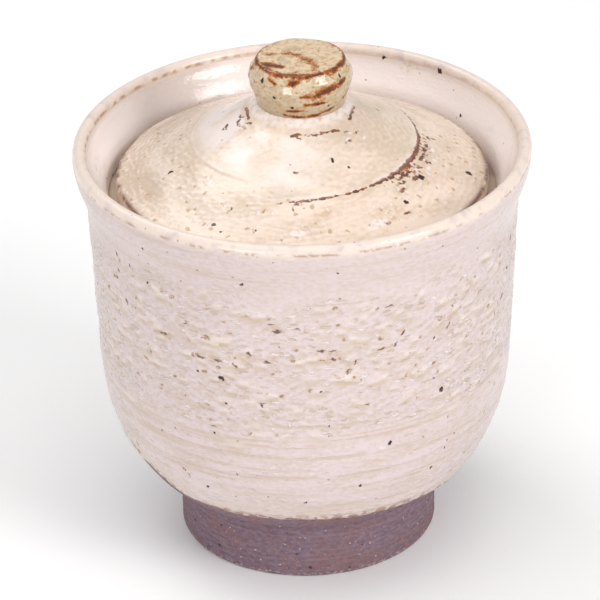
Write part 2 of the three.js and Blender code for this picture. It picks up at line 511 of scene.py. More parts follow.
def seat_piece():
    """The ledge that the lid rests on: a flat top with a softened edge and a sloping bracket under it."""
    wall = seat_high[0] + LUTED_OVERLAP
    throat = seat_high[0] + SEAT_SLIP - SEAT_WIDTH
    bottom = seat_low[2]
    bottom_wall = wall - SEAT_TOE
    soft = SEAT_SOFT_EDGE
    points, _ = outline(
        line((bottom_wall, bottom), (wall, bottom), rows=3),
        line((wall, bottom), (wall, SEAT_TOP), rows=8),
        line((wall, SEAT_TOP), (throat + soft, SEAT_TOP), rows=12),
        arc((throat + soft, SEAT_TOP - soft), soft, soft, 90, 180, rows=8),
        bezier(
            (throat, SEAT_TOP - soft),
            (throat, SEAT_TOP - SEAT_THICKNESS),
            (throat + SEAT_TOE, SEAT_TOP - SEAT_THICKNESS),
            (bottom_wall, bottom),
            rows=20,
        ),
    )
    angle = wheel_angles(SEAT_COLUMNS)
    ripple = waves(angle, points[:, 1:], seed=41, count=30, round_waves=(3, 14), lengths=(3, 9))
    relief = -SEAT_RIPPLE_DEPTH * np.abs(ripple) * (points[:, :1] < bottom_wall)
    return turned("lid_seat_ledge", points, angle, relief, ring=True, fields={"slip": 0.3 * ripple})


# Lid

COLLAR_RADIUS = KNOB_BASE_RADIUS + COLLAR_WIDTH
FILLET_RADIUS = COLLAR_RADIUS + FILLET_WIDTH
LID_CORNER_RADIUS = LID_RADIUS - LID_CORNER
LID_CORNER_HEIGHT = LID_REST + LID_EDGE_HEIGHT
LID_TOP_STRETCH, FILLET_STRETCH = 5, 6

# Spiral ridge: the inner ring it closes in on, how far out it starts, and in how many degrees it closes in
SPIRAL_RING = 21.8
SPIRAL_START = 3.4
SPIRAL_DECAY = 80

# Travel along the spiral in degrees: where the ridge fades in and out, and where its iron lies, widens and
# spills, each with how far it fades beyond
RIDGE_FADES_IN = (-32, -8)
RIDGE_FADES_OUT = (318, 340)
RIDGE_END = 341
IRON_TRAVEL = (0, 124, 14)
WIDE_TRAVEL = (50, 112, 24)
SPILL_TRAVEL = (50, 90, 12)

# Radii where the dragged slip begins, and angles where the corner's iron is strongest
DRAG_BEGINS = (22, 25)
CORNER_SIDES = (52, 112, 12)

# Iron strokes beside the knob: start and end as right and away, then the widths there
LID_STROKES = [
    ((-1.9, -11.4), (-0.3, -12.0), (0.3, 0.35)),
    ((-2.0, -11.4), (2.8, -11.2), (0.35, 0.3)),
    ((2.8, -11.2), (7.2, -9.2), (0.35, 0.25)),
    ((9.4, -5.6), (10.3, -1.0), (0.4, 0.3)),
    ((-10.2, -4.2), (-10.7, 0.4), (0.4, 0.3)),
    ((-15.0, -3.6), (-14.4, -2.4), (0.7, 0.3)),
    ((-12.4, -3.4), (-11.4, -2.6), (0.35, 0.3)),
    ((-10.8, -5.0), (-9.8, -5.8), (0.3, 0.35)),
    ((4.0, 13.0), (9.0, 10.5), (0.5, 0.3)),
]


def lid_top_height(radius):
    """Height of the lid's upper face: from the edge to the collar it rises with the share of the way, to the
    power of the sweep."""
    share = np.clip((LID_CORNER_RADIUS - radius) / (LID_CORNER_RADIUS - COLLAR_RADIUS), 0, None)
    return LID_CORNER_HEIGHT + (LID_TOP - COLLAR_HEIGHT - LID_CORNER_HEIGHT) * share**LID_SWEEP


def lid_face(start, end, sunk, rows):
    """Stretch of the lid's upper face, or of its lower one when sunk by the wall, between two radii."""
    radius = np.linspace(start, end, rows)
    return np.column_stack((radius, lid_top_height(radius) - sunk))


def lid_outline():
    """The hollow underside, the bearing face, the rounded edge, the swept top, and the hollow fillet by which
    it runs up round the foot of the knob."""
    bearing = LID_RADIUS - LID_BEARING
    hollow = lid_face(COLLAR_RADIUS, bearing - LID_EDGE_ROUND, LID_WALL, rows=24)
    neck = KNOB_NECK_RADIUS + FILLET_GAP
    under_knob = KNOB_NECK_RADIUS - 1
    fillet_top = LID_TOP + FILLET_RISE
    fillet_foot = float(lid_top_height(FILLET_RADIUS))
    return outline(
        line((0, hollow[0, 1]), hollow[0], rows=6),
        hollow,
        line(hollow[-1], (bearing, LID_REST), rows=5),
        line((bearing, LID_REST), (LID_RADIUS - LID_EDGE_ROUND, LID_REST), rows=6),
        bezier(
            (LID_RADIUS - LID_EDGE_ROUND, LID_REST),
            (LID_RADIUS + LID_EDGE_SWELL, LID_REST),
            (LID_RADIUS + LID_EDGE_SWELL, LID_CORNER_HEIGHT - LID_EDGE_ROUND),
            (LID_CORNER_RADIUS, LID_CORNER_HEIGHT),
            rows=20,
        ),
        lid_face(LID_CORNER_RADIUS, FILLET_RADIUS, 0, rows=110),
        bezier(
            (FILLET_RADIUS, fillet_foot),
            (FILLET_RADIUS - 1.0, fillet_foot + 0.6),
            (neck + 0.8, fillet_top - 0.55),
            (neck, fillet_top),
            rows=18,
        ),
        line((neck, fillet_top), (under_knob, LID_TOP), rows=4),
        line((under_knob, LID_TOP), (0, LID_TOP), rows=4),
    )


def spiral_radius(travel):
    """Radius of the throwing spiral: it closes in on an inner ring as e to the minus travel in degrees, and
    bulges out behind the knob."""
    bulge = smooth(travel, 95, 150) * (1 - smooth(travel, 170, 260))
    return SPIRAL_RING + SPIRAL_START * np.exp(-(travel + 20) / SPIRAL_DECAY) + 2 * bulge


def throwing_spiral(angle, radius):
    """The spiral ridge that a finger left, once round from just left of the front. Returns the ridge, steep
    on its outer side and fading inwards, its crest, the iron along its outer foot, and the zone inside it.
    The iron widens towards the right, where it spills outwards."""
    ridge = np.zeros(np.broadcast(angle, radius).shape)
    crest = np.zeros_like(ridge)
    iron = np.zeros_like(ridge)
    zone = np.zeros_like(ridge)
    for turns in (0, 360):
        travel = angle + turns
        shown = smooth(travel, *RIDGE_FADES_IN) * (1 - smooth(travel, *RIDGE_FADES_OUT))
        shown = shown * (travel < RIDGE_END)
        inward = spiral_radius(travel) - radius
        ridge += shown * smooth(inward, -0.1, 0.5) * np.exp(-np.maximum(inward, 0) / 2.4)
        # The crest is where a highlight is painted on the lid
        crest += shown * bell(inward - 0.45, 0.3)
        width = 0.24 + 0.14 * band(travel, *WIDE_TRAVEL)
        spill = 0.56 * bell(inward + 1.5, 1.5) * band(travel, *SPILL_TRAVEL)
        iron += shown * (bell(inward + 0.1, width) * band(travel, *IRON_TRAVEL) + spill)
        zone = np.maximum(zone, smooth(inward, -0.3, 4) * shown)
    return ridge, crest, iron, zone


def lid_brush_iron(angle, radius):
    """Iron brushed on beside the knob: strokes on the plan of the lid, right and away from the front."""
    turn = np.radians(angle)
    right, away = radius * np.sin(turn), -radius * np.cos(turn)
    iron = np.zeros(right.shape)
    for start, end, widths in LID_STROKES:
        iron = np.maximum(iron, brush_stroke(right, away, start, end, widths))
    return iron


def lid_piece():
    """The lid: a swept cone with the spiral ridge, dragged slip outside it, a rounded edge and a fillet that
    leads up to the knob. Its relief fades out at the corner and at the fillet."""
    points, stretch = lid_outline()
    angle = wheel_angles(LID_COLUMNS)
    radius, height = points[:, :1], points[:, 1:]
    top = (stretch == LID_TOP_STRETCH)[:, None] * smooth(LID_CORNER_RADIUS - radius, 0, 0.8)
    top = top * smooth(radius - FILLET_RADIUS, 0, 0.8)
    ridge, crest, iron, zone = throwing_spiral(angle, radius)
    drag = np.tanh(1.5 * waves(angle, radius, seed=21, count=140, round_waves=(8, 60), lengths=(0.8, 2.0)))
    lumps = waves(angle, radius, seed=22, count=40, round_waves=(2, 12), lengths=(5, 14))
    outer = smooth(radius, *DRAG_BEGINS)
    relief = top * (RIDGE_HEIGHT * ridge + LID_DRAG_DEPTH * drag * outer + LID_LUMP_DEPTH * lumps)
    from_corner = np.hypot(radius - LID_CORNER_RADIUS, height - LID_CORNER_HEIGHT)
    sides = 0.2 + 0.8 * band(np.abs(angle), *CORNER_SIDES)
    fillet = (stretch == FILLET_STRETCH)[:, None] * smooth(height, LID_TOP - 0.9, LID_TOP + 0.1)
    level = np.zeros_like(angle)
    fields = {
        "slip": top * drag,
        "lumps": top * lumps,
        "dragged": outer * top + level,
        "ridge_iron": iron * top,
        # Field for the highlight painted along the ridge's crest
        "painted_crest_highlight": crest * top,
        "inner_zone": zone * top,
        "fillet": fillet + level,
        "corner_iron": bell(from_corner, 0.6) * sides,
        "brush_iron": lid_brush_iron(angle, radius) * (height > LID_CORNER_HEIGHT),
    }
    return turned("lid_glazed_cover", points, angle, relief, fields=fields)


# Knob

KNOB_EDGE_RADIUS = KNOB_TOP_RADIUS + KNOB_EDGE_WIDER
KNOB_EDGE_HEIGHT = KNOB_TOP - KNOB_EDGE_DROP
SHOULDER_HEIGHT = KNOB_BASE + KNOB_SHOULDER

# Arc of iron over the top: its centre as right and away, its size, and how far right it starts
ARC_CENTRE = (-4.5, -6)
ARC_RADIUS = 7.25
ARC_WIDTH = 0.9
ARC_STARTS = (-7.5, -5.5)

# Smear of iron at the left of the top: start and end as right and away, then the widths there
TOP_SMEAR = ((-7.6, -3.0), (-3.8, -4.8), (1.0, 0.7))

# Iron strokes on the knob's side: start and end as arc length and height, then the widths there
KNOB_STROKES = [
    ((3.0, 99.3), (10.5, 100.6), (1.2, 0.55)),
    ((0.0, 99.1), (3.4, 99.2), (0.4, 0.9)),
    ((-2.4, 101.9), (-0.8, 101.9), (0.8, 0.7)),
    ((-1.6, 102.6), (-1.6, 101.6), (0.9, 0.7)),
    ((-4.0, 94.4), (1.0, 94.0), (0.4, 0.55)),
    ((1.5, 94.2), (8.0, 95.0), (0.5, 0.35)),
    ((-3.0, 95.6), (0.5, 95.7), (0.35, 0.3)),
    ((1.0, 97.2), (5.0, 97.0), (0.5, 0.3)),
    ((-14.8, 101.6), (-14.0, 96.6), (0.9, 0.5)),
    ((-7.4, 101.8), (-5.5, 101.2), (0.4, 0.3)),
    ((11.0, 96.4), (13.0, 97.4), (0.5, 0.3)),
    ((18.0, 97.0), (26.0, 99.4), (0.8, 0.5)),
    ((-26.0, 99.2), (-20.0, 97.6), (0.8, 0.5)),
    ((14.0, 95.0), (20.0, 94.8), (0.5, 0.4)),
    ((24.0, 101.6), (30.0, 101.0), (0.7, 0.4)),
]


def knob_outline():
    """The foot of the knob, its side swelling to the shoulder, a bevel and a chamfer that lean in, its
    rounded upper edge, and a nearly flat top."""
    base = KNOB_BASE - LUTED_OVERLAP
    crown = KNOB_TOP - KNOB_CROWN
    side_end = (KNOB_RADIUS, SHOULDER_HEIGHT - SHOULDER_ROUND)
    bevel_start = (KNOB_RADIUS - BEVEL_START_INSET, SHOULDER_HEIGHT)
    chamfer_start = (KNOB_RADIUS - BEVEL_INSET, SHOULDER_HEIGHT + BEVEL_HEIGHT)
    chamfer_end = (KNOB_EDGE_RADIUS, KNOB_EDGE_HEIGHT)
    top_start = (KNOB_EDGE_RADIUS - KNOB_EDGE_ROUND, crown)
    return outline(
        line((0, base), (KNOB_NECK_RADIUS, base), rows=6),
        bezier(
            (KNOB_NECK_RADIUS, base),
            (KNOB_NECK_RADIUS + 0.5, base + 2.6),
            (KNOB_RADIUS - 0.1, SHOULDER_HEIGHT - 2.2),
            side_end,
            rows=42,
        ),
        bezier(
            side_end,
            (KNOB_RADIUS, SHOULDER_HEIGHT - 0.2),
            (KNOB_RADIUS - 0.02, SHOULDER_HEIGHT - 0.1),
            bevel_start,
            rows=6,
        ),
        line(bevel_start, chamfer_start, rows=16),
        line(chamfer_start, chamfer_end, rows=16),
        bezier(
            chamfer_end,
            (KNOB_EDGE_RADIUS - 0.25, KNOB_EDGE_HEIGHT + 0.35),
            (KNOB_EDGE_RADIUS - 0.5, crown),
            top_start,
            rows=10,
        ),
        line(top_start, (0, KNOB_TOP), rows=44),
    )


def knob_iron(angle, radius, height):
    """Where iron lies on the knob: round the top edge, along an arc over the top, in a smear at its left, and
    in strokes on the side, where a sheet has the arc length across and the height up."""
    turn = np.radians(angle)
    right, away = radius * np.sin(turn), -radius * np.cos(turn)
    arc_length = turn * KNOB_RADIUS
    on_top = height > KNOB_TOP - KNOB_CROWN - 0.02
    from_arc = np.hypot(right - ARC_CENTRE[0], away - ARC_CENTRE[1]) - ARC_RADIUS
    over_top = 0.65 * bell(from_arc, ARC_WIDTH) * smooth(right, *ARC_STARTS)
    smear = brush_stroke(right, away, *TOP_SMEAR)
    from_edge = np.hypot(radius - KNOB_EDGE_RADIUS + 0.2, height - KNOB_EDGE_HEIGHT - 0.2)
    ring = bell(from_edge, 0.58 + 0.22 * np.cos(turn - 0.3))
    side = np.zeros(np.broadcast(angle, height).shape)
    for start, end, widths in KNOB_STROKES:
        side = np.maximum(side, brush_stroke(arc_length, height, start, end, widths))
    top_iron = np.maximum(over_top, smear) * on_top
    return np.maximum(np.maximum(top_iron, ring), side * (1 - on_top))


def knob_piece():
    """The knob with its iron: it is a little uneven, as if pinched round while the clay was soft, and
    smoother on the bevel. The unevenness only cuts into it."""
    points, _ = knob_outline()
    angle = wheel_angles(KNOB_COLUMNS)
    radius, height = points[:, :1], points[:, 1:]
    pinched = waves(angle, height, seed=51, count=24, round_waves=(2, 7), lengths=(6, 14))
    slope = height + 0.8 * radius
    rippled = waves(angle, slope, seed=52, count=60, round_waves=(8, 40), lengths=(1.2, 3.0))
    free = smooth(height, KNOB_BASE, KNOB_BASE + 1) * smooth(radius, 0, 2)
    free = free * (1 - 0.85 * band(height, SHOULDER_HEIGHT - 0.2, SHOULDER_HEIGHT + 1.4, 0.6))
    relief = free * (-PINCH_DEPTH * np.abs(pinched) - KNOB_RIPPLE_DEPTH * np.abs(rippled))
    fields = {"iron": knob_iron(angle, radius, height)}
    return turned("lid_iron_knob", points, angle, relief, fields=fields)


# Node materials

class Finish:
    """A procedural material being put together. Each method adds nodes and returns the socket with its
    result. Lengths are millimetres, and patterns are laid on Object coordinates or on a field of the
    piece's mesh."""

    def __init__(self, name):
        self.material = bpy.data.materials.new(name)
        self.material.use_nodes = True
        self.tree = self.material.node_tree
        self.shader = self.tree.nodes["Principled BSDF"]
        metres = self.node("ShaderNodeTexCoord").outputs["Object"]
        self.place = self.vector("SCALE", {0: metres, "Scale": 1 / MM})

    def node(self, kind, inputs=None, **settings):
        """A new node with its settings made and its inputs linked or set, by name or number."""
        node = self.tree.nodes.new(kind)
        for key, value in settings.items():
            setattr(node, key, value)
        for key, value in (inputs or {}).items():
            if isinstance(value, bpy.types.NodeSocket):
                self.tree.links.new(value, node.inputs[key])
            else:
                node.inputs[key].default_value = value
        return node

    def math(self, operation, first, second):
        """Arithmetic on two numbers, by the name of the operation."""
        return self.node("ShaderNodeMath", {0: first, 1: second}, operation=operation).outputs[0]

    def vector(self, operation, inputs, output="Vector"):
        """Arithmetic on vectors, by the name of the operation."""
        return self.node("ShaderNodeVectorMath", inputs, operation=operation).outputs[output]

    def chain(self, operation, values):
        """The operation on the first two values, then on that and the third, and so on."""
        result = values[0]
        for value in values[1:]:
            result = self.math(operation, result, value)
        return result

    def times(self, *values):
        """Product of the values."""
        return self.chain("MULTIPLY", values)

    def total(self, *values):
        """Sum of the values."""
        return self.chain("ADD", values)

    def most(self, *values):
        """Largest of the values."""
        return self.chain("MAXIMUM", values)

    def minus(self, first, second):
        """First less second."""
        return self.math("SUBTRACT", first, second)

    def swing(self, value):
        """A value from 0 to 1 moved to lie about 0."""
        return self.minus(value, 0.5)

    def rise(self, value, low, high):
        """0 at low, 1 at high, eased between them. A low above high turns it round."""
        sockets = {"Value": value, "From Min": low, "From Max": high}
        return self.node("ShaderNodeMapRange", sockets, interpolation_type="SMOOTHSTEP").outputs["Result"]

    def field(self, label):
        """A field of the piece's mesh."""
        return self.node("ShaderNodeAttribute", attribute_name=label).outputs["Fac"]

    def along(self, axis):
        """Place along an axis."""
        return self.node("ShaderNodeSeparateXYZ", {0: self.place}).outputs[axis]

    def scaled(self, size, stretch, place):
        """A place counted in steps of that size, longer along an axis where stretch is above 1."""
        scale = [1 / (size * s) for s in stretch]
        return self.node("ShaderNodeMapping", {"Vector": place, "Scale": scale}).outputs[0]

    def noise(self, size, detail, stretch=(1, 1, 1)):
        """Noise from 0 to 1 with features of about that size."""
        sockets = {"Vector": self.scaled(size, stretch, self.place), "Scale": 1.0, "Detail": detail}
        return self.node("ShaderNodeTexNoise", sockets).outputs["Fac"]

    def clouds(self, size, detail, low, high, stretch=(1, 1, 1)):
        """Noise of about that size, eased from 0 where it is low to 1 where it is high."""
        return self.rise(self.noise(size, detail, stretch), low, high)

    def uneven(self, size, reach):
        """The place moved about by noise of that size, by up to about the reach, for ragged outlines."""
        noise = self.node("ShaderNodeTexNoise", {"Vector": self.place, "Scale": 1 / size, "Detail": 2.0})
        shift = self.vector("SUBTRACT", {0: noise.outputs["Color"], 1: (0.5, 0.5, 0.5)})
        far = self.vector("SCALE", {0: shift, "Scale": 2 * reach})
        return self.vector("ADD", {0: self.place, 1: far})

    def grains(self, spacing, radius, share, stretch=(1, 1, 1), place=None):
        """Scattered grains: 1 at the middle of a cell of that spacing and 0 at the radius, in a share of the
        cells picked by their own random colour. They are round unless an uneven place is given."""
        spot = self.scaled(spacing, stretch, place or self.place)
        cell = self.node("ShaderNodeTexVoronoi", {"Vector": spot, "Scale": 1.0})
        pick = self.node("ShaderNodeSeparateColor", {0: cell.outputs["Color"]}).outputs["Red"]
        size = self.times(self.math("LESS_THAN", pick, share), radius / spacing)
        inside = self.minus(size, cell.outputs["Distance"])
        return self.rise(inside, 0, 0.35 * radius / spacing)

    def flat(self, across, up):
        """A vector of two numbers."""
        return self.node("ShaderNodeCombineXYZ", {"X": across, "Y": up}).outputs["Vector"]

    def arc_length(self, radius):
        """Length round a wheel of that radius, counted from the front."""
        angle = self.math("ARCTAN2", self.along("X"), self.times(self.along("Y"), -1.0))
        return self.times(angle, radius)

    def unrolled(self, radius, shake):
        """The skin laid flat: arc length and height, shaken by up to about the given length."""
        return self.shaken(self.flat(self.arc_length(radius), self.along("Z")), shake)

    def fanned(self, radius, shake):
        """The lid's top laid flat: arc length and radius, shaken by up to about the given length."""
        level = self.flat(self.along("X"), self.along("Y"))
        out = self.vector("LENGTH", {0: level}, output="Value")
        return self.shaken(self.flat(self.arc_length(radius), out), shake)

    def shaken(self, sheet, reach):
        """A flat sheet moved about by fine noise, for ragged borders."""
        noise = self.node("ShaderNodeTexNoise", {"Vector": self.place, "Scale": 1.0, "Detail": 2.0})
        parts = self.node("ShaderNodeSeparateColor", {0: noise.outputs["Color"]})
        moves = [self.times(self.swing(parts.outputs[name]), 2 * reach) for name in ("Red", "Green")]
        return self.vector("ADD", {0: sheet, 1: self.flat(*moves)})

    def marks(self, sheet, radius, listed, slant=0, length=1.0, soft=0.12):
        """Marks on a flat sheet, listed as angle, height and width. A mark is an ellipse as many widths long
        as length says, its right end raised by the slant. 1 inside any of them and 0 past a soft border."""
        lean = math.radians(slant)
        sockets = {"Vector": sheet, "Rotation": (0, 0, lean), "Scale": (length, 1, 1)}
        space = self.node("ShaderNodeMapping", sockets, vector_type="TEXTURE").outputs[0]
        nearest = None
        for angle, height, width in listed:
            arc_length = math.radians(angle) * radius
            across = (arc_length * math.cos(lean) + height * math.sin(lean)) / length
            up = height * math.cos(lean) - arc_length * math.sin(lean)
            reach = self.vector("DISTANCE", {0: space, 1: (across, up, 0)}, output="Value")
            border = self.minus(reach, width / 2)
            nearest = border if nearest is None else self.math("MINIMUM", nearest, border)
        return self.rise(nearest, soft, -soft)

    def frayed(self, field, noise, fray):
        """A field eaten away by noise: 1 where the two together pass about a half and the field is there."""
        eaten = self.rise(self.total(field, self.times(noise, fray)), 0.5, 0.75)
        return self.times(eaten, self.rise(field, 0.1, 0.3))

    def tint(self, base, colour, amount):
        """The base colour turned towards another by the amount."""
        sockets = {0: amount, 6: base, 7: colour}
        return self.node("ShaderNodeMix", sockets, data_type="RGBA").outputs[2]

    def fired(self, colour, roughness, bumps, bump_depth):
        """Links colour and roughness, and a bump of heights in units of its depth. Returns the material."""
        bump = self.node("ShaderNodeBump", {"Height": bumps, "Strength": 1.0, "Distance": bump_depth * MM})
        for name, value in (("Base Color", colour), ("Roughness", roughness), ("Normal", bump.outputs[0])):
            self.tree.links.new(value, self.shader.inputs[name])
        return self.material


def colour(red, green, blue):
    """Colour for a node, from display values of 0 to 255."""
    shares = np.array((red, green, blue)) / 255
    linear = np.where(shares <= 0.04045, shares / 12.92, ((shares + 0.055) / 1.055) ** 2.4)
    return (*linear.tolist(), 1.0)


# Marks on the cup: angle, height and width. Dashes are longer than they are wide.
CUP_SPECKS = [
    (23, 38, 1.0), (-23, 53.5, 1.1), (39, 46.5, 0.9), (-1, 25, 0.8), (-31, 26, 0.7), (15, 28.5, 0.7),
    (42, 32, 0.6), (45, 34.5, 0.5), (-30, 54, 0.6), (-22, 48, 0.6), (-12, 48.5, 0.5), (-26, 40.5, 0.6),
    (6, 44, 0.5), (4, 52, 0.6), (-16, 75.5, 0.5), (8, 79, 0.5), (36, 80, 0.5), (51, 74.5, 0.5),
    (138, 84.0, 1.1), (156, 84.0, 0.9), (125, 78.4, 0.7),
    (-44, 78.5, 0.6), (-45, 70, 0.6), (-44, 37, 0.5), (38, 28, 0.6), (-20, 31.5, 0.4), (36, 59, 0.5),
]
CUP_FALLING_DASHES = [
    (-58, 72.5, 0.5), (-57, 71.5, 0.5), (-58, 69, 0.5), (-59, 67, 0.5), (-59, 28.5, 0.5), (-55, 63, 0.6),
    (-52, 72, 0.5), (-15, 60, 0.6), (-19, 57, 0.6), (-38, 29, 0.5), (-37, 27.5, 0.4), (42, 64.5, 0.5),
]
CUP_RISING_DASHES = [
    (60, 34.5, 0.5), (67, 58, 0.7), (73, 69, 0.6), (70, 63.5, 0.5), (13, 58, 0.5), (11, 56, 0.6),
    (26, 62.5, 0.6), (38, 63, 0.5), (41, 60.5, 0.6), (24, 60.5, 0.5), (50, 23, 0.4), (62, 56, 0.4),
]
CUP_LEVEL_DASHES = [
    (-41, 60, 0.5), (-9, 67, 0.4), (-7, 65.5, 0.6), (-2, 66, 0.3), (-29, 57.5, 0.5), (-24, 57.5, 0.4),
    (-10, 58.5, 0.4), (4, 61, 0.35), (7, 61, 0.35), (4, 59, 0.35), (7, 59, 0.35), (20, 60, 0.5),
    (22, 69, 0.35), (-33, 64, 0.3), (36, 50, 0.3), (-12, 49, 0.35), (16, 48, 0.3), (-26, 42, 0.3),
]
CUP_STAINS = [
    (-52, 61, 1.3), (-38, 28.5, 1.4), (-16, 59, 1.6), (-26, 58, 1.6), (-8, 59, 1.5), (6, 60, 2.4),
    (12, 57, 1.8), (21, 60, 1.6), (40, 62.5, 2.4), (-8, 66, 1.5), (-40, 60, 1.5), (27, 63, 1.6),
    (148, 83.4, 1.3), (149, 82.4, 1.0),
]

# Marks on the lid: angle, radius and width. Those beside the knob lie on a smaller wheel.
NEAR_KNOB_RADIUS = COLLAR_RADIUS + 2
LID_SPECKS = [
    (20, 17, 0.9), (28, 19, 0.6), (60, 26.5, 1.4), (80, 33, 1.1), (43, 29, 0.9), (-71, 27, 0.9),
    (-33, 31.5, 0.8), (-30, 27.5, 0.5), (-29, 32.5, 0.5), (104, 15.5, 0.6), (-17, 31, 0.4), (-96, 24, 0.5),
]
LID_LEVEL_DASHES = [
    (-2, 25.2, 0.6), (-10, 25, 0.4), (57, 26, 0.9), (50, 24.6, 0.6), (46, 26.6, 0.7), (-4, 18.9, 0.6),
    (30, 31.6, 0.5), (40, 31, 0.5),
]
LID_STEEP_DASHES = [(-4, 26.2, 0.6), (72, 25.6, 1.0), (84, 24.8, 0.9), (62, 25.4, 0.8), (95, 26, 0.7)]
LID_STAINS = [
    (46, 26.4, 2.2), (64, 26, 3.4), (-62, 13, 3.0), (-66, 33, 2.4), (8, 27, 3.0), (34, 30, 4.0),
    (-4, 19, 1.8),
]
LID_FLAKES = [
    (28, 31, 2.0), (-2, 31, 1.6), (-49, 24, 1.5), (-4, 18.2, 0.8), (68, 26.6, 1.0), (84, 25.6, 0.9),
    (72, 25, 0.7), (76, 26.4, 0.8), (62, 25, 0.7), (90, 26.6, 0.7), (25, 31.6, 1.2),
]
KNOB_SIDE_DASHES = [
    (39, 14.2, 0.5), (44, 12.6, 0.4), (-70, 13, 0.5), (-62, 12.6, 0.5), (52, 13.4, 0.4), (-80, 12, 0.5),
]
KNOB_SIDE_FLAKES = [(-1, 12.8, 0.9), (40, 13.6, 0.9), (47, 12.8, 0.7), (54, 14.8, 0.8), (-67, 13, 0.6)]

# Marks on the knob: angle, height and width
KNOB_SPECKS = [
    (-49, 101, 0.9), (-31, 98.5, 0.8), (-10, 96.5, 0.7), (52, 101.5, 0.6), (20, 97, 0.5), (34, 96, 0.5),
    (-64, 97, 0.6), (120, 99, 0.8),
]

# Colours of the slip and the glazes
PALE_SLIP = colour(214, 198, 199)
BEIGE_SLIP = colour(202, 184, 175)
# Beige of thin slip, also used for the shadow painted under the bars
THIN_SLIP_AND_SHADOW = colour(193, 171, 146)
WHITE_SLIP = colour(238, 225, 221)
INSIDE_SLIP = colour(246, 233, 228)
# Grey of the shade painted inside the mouth
PAINTED_SHADE_GREY = colour(188, 170, 160)
LIP_GLAZE = colour(230, 213, 200)
POOLED_GLAZE = colour(208, 190, 172)
PEACH_GLAZE = colour(233, 213, 196)
WARM_GLAZE = colour(210, 189, 168)
KNOB_OLIVE = colour(190, 172, 142)
KNOB_CREAM = colour(216, 198, 172)
KNOB_GREY = colour(172, 156, 128)
KNOB_TAN = colour(222, 196, 164)

# Colours of the iron, from stain to speck
OCHRE = colour(186, 148, 104)
AMBER = colour(178, 132, 78)
IRON_RUST = colour(170, 92, 38)
RIM_BROWN = colour(138, 84, 34)
EDGE_BROWN = colour(136, 88, 54)
IRON_BROWN = colour(128, 66, 36)
DASH_BROWN = colour(92, 56, 34)
IRON_DARK = colour(86, 32, 8)
IRON_BLACK = colour(58, 26, 14)

# Colours of the clay and its grog
# Clay colour of the wiped seat, darkened as painted shade under the lid's edge
SEAT_CLAY_AND_SHADE = colour(158, 136, 122)
CLAY_DARK = colour(105, 84, 95)
CLAY_LIGHT = colour(139, 117, 130)
CLAY_RED = colour(132, 96, 92)
GROG_RED = colour(186, 126, 98)
GROG_PALE = colour(224, 204, 194)


# Bare clay

def clay_skin(finish):
    """Bare fired clay: dark purple-brown with red and pale grog, small holes and a dry, grainy skin. Returns
    its colour and its bumps."""
    cloud = finish.clouds(0.8, 6, 0.25, 0.8, stretch=(1.5, 1.5, 0.8))
    skin = finish.tint(CLAY_DARK, CLAY_LIGHT, cloud)
    blush = finish.clouds(9, 3, 0.42, 0.65, stretch=(1, 1, 0.6))
    skin = finish.tint(skin, CLAY_RED, finish.times(blush, 0.4))
    strewn = finish.uneven(0.5, 0.35)
    patchy = finish.clouds(6, 2, 0.4, 0.6)
    red = finish.times(finish.grains(0.6, 0.22, 0.65, place=strewn), patchy)
    pale = finish.grains(1.0, 0.22, 0.24, place=strewn)
    holes = finish.grains(2.6, 0.5, 0.16, place=strewn)
    skin = finish.tint(skin, GROG_RED, finish.times(red, 0.78))
    skin = finish.tint(skin, GROG_PALE, finish.times(pale, 0.8))
    skin = finish.tint(skin, IRON_BLACK, finish.times(holes, 0.8))
    grain = finish.noise(0.4, 3)
    bumps = finish.total(grain, finish.minus(finish.most(red, pale), holes))
    return skin, bumps


def bare_clay():
    """Foot ring: the bare clay of the heel, lighter along its trimming lines, worn pale where it stands."""
    finish = Finish("bare_trimmed_clay")
    skin, bumps = clay_skin(finish)
    trimmed = finish.times(finish.rise(finish.field("trim"), 0.2, 1.8), 0.5)
    skin = finish.tint(skin, CLAY_LIGHT, trimmed)
    worn = finish.times(finish.rise(finish.along("Z"), 1.3, 0.3), finish.clouds(0.7, 3, 0.48, 0.66))
    skin = finish.tint(skin, GROG_PALE, finish.times(worn, 0.5))
    roughness = finish.total(0.78, finish.times(finish.noise(2, 2), 0.15))
    return finish.fired(skin, roughness, bumps, bump_depth=0.12)


# Glaze of the cup

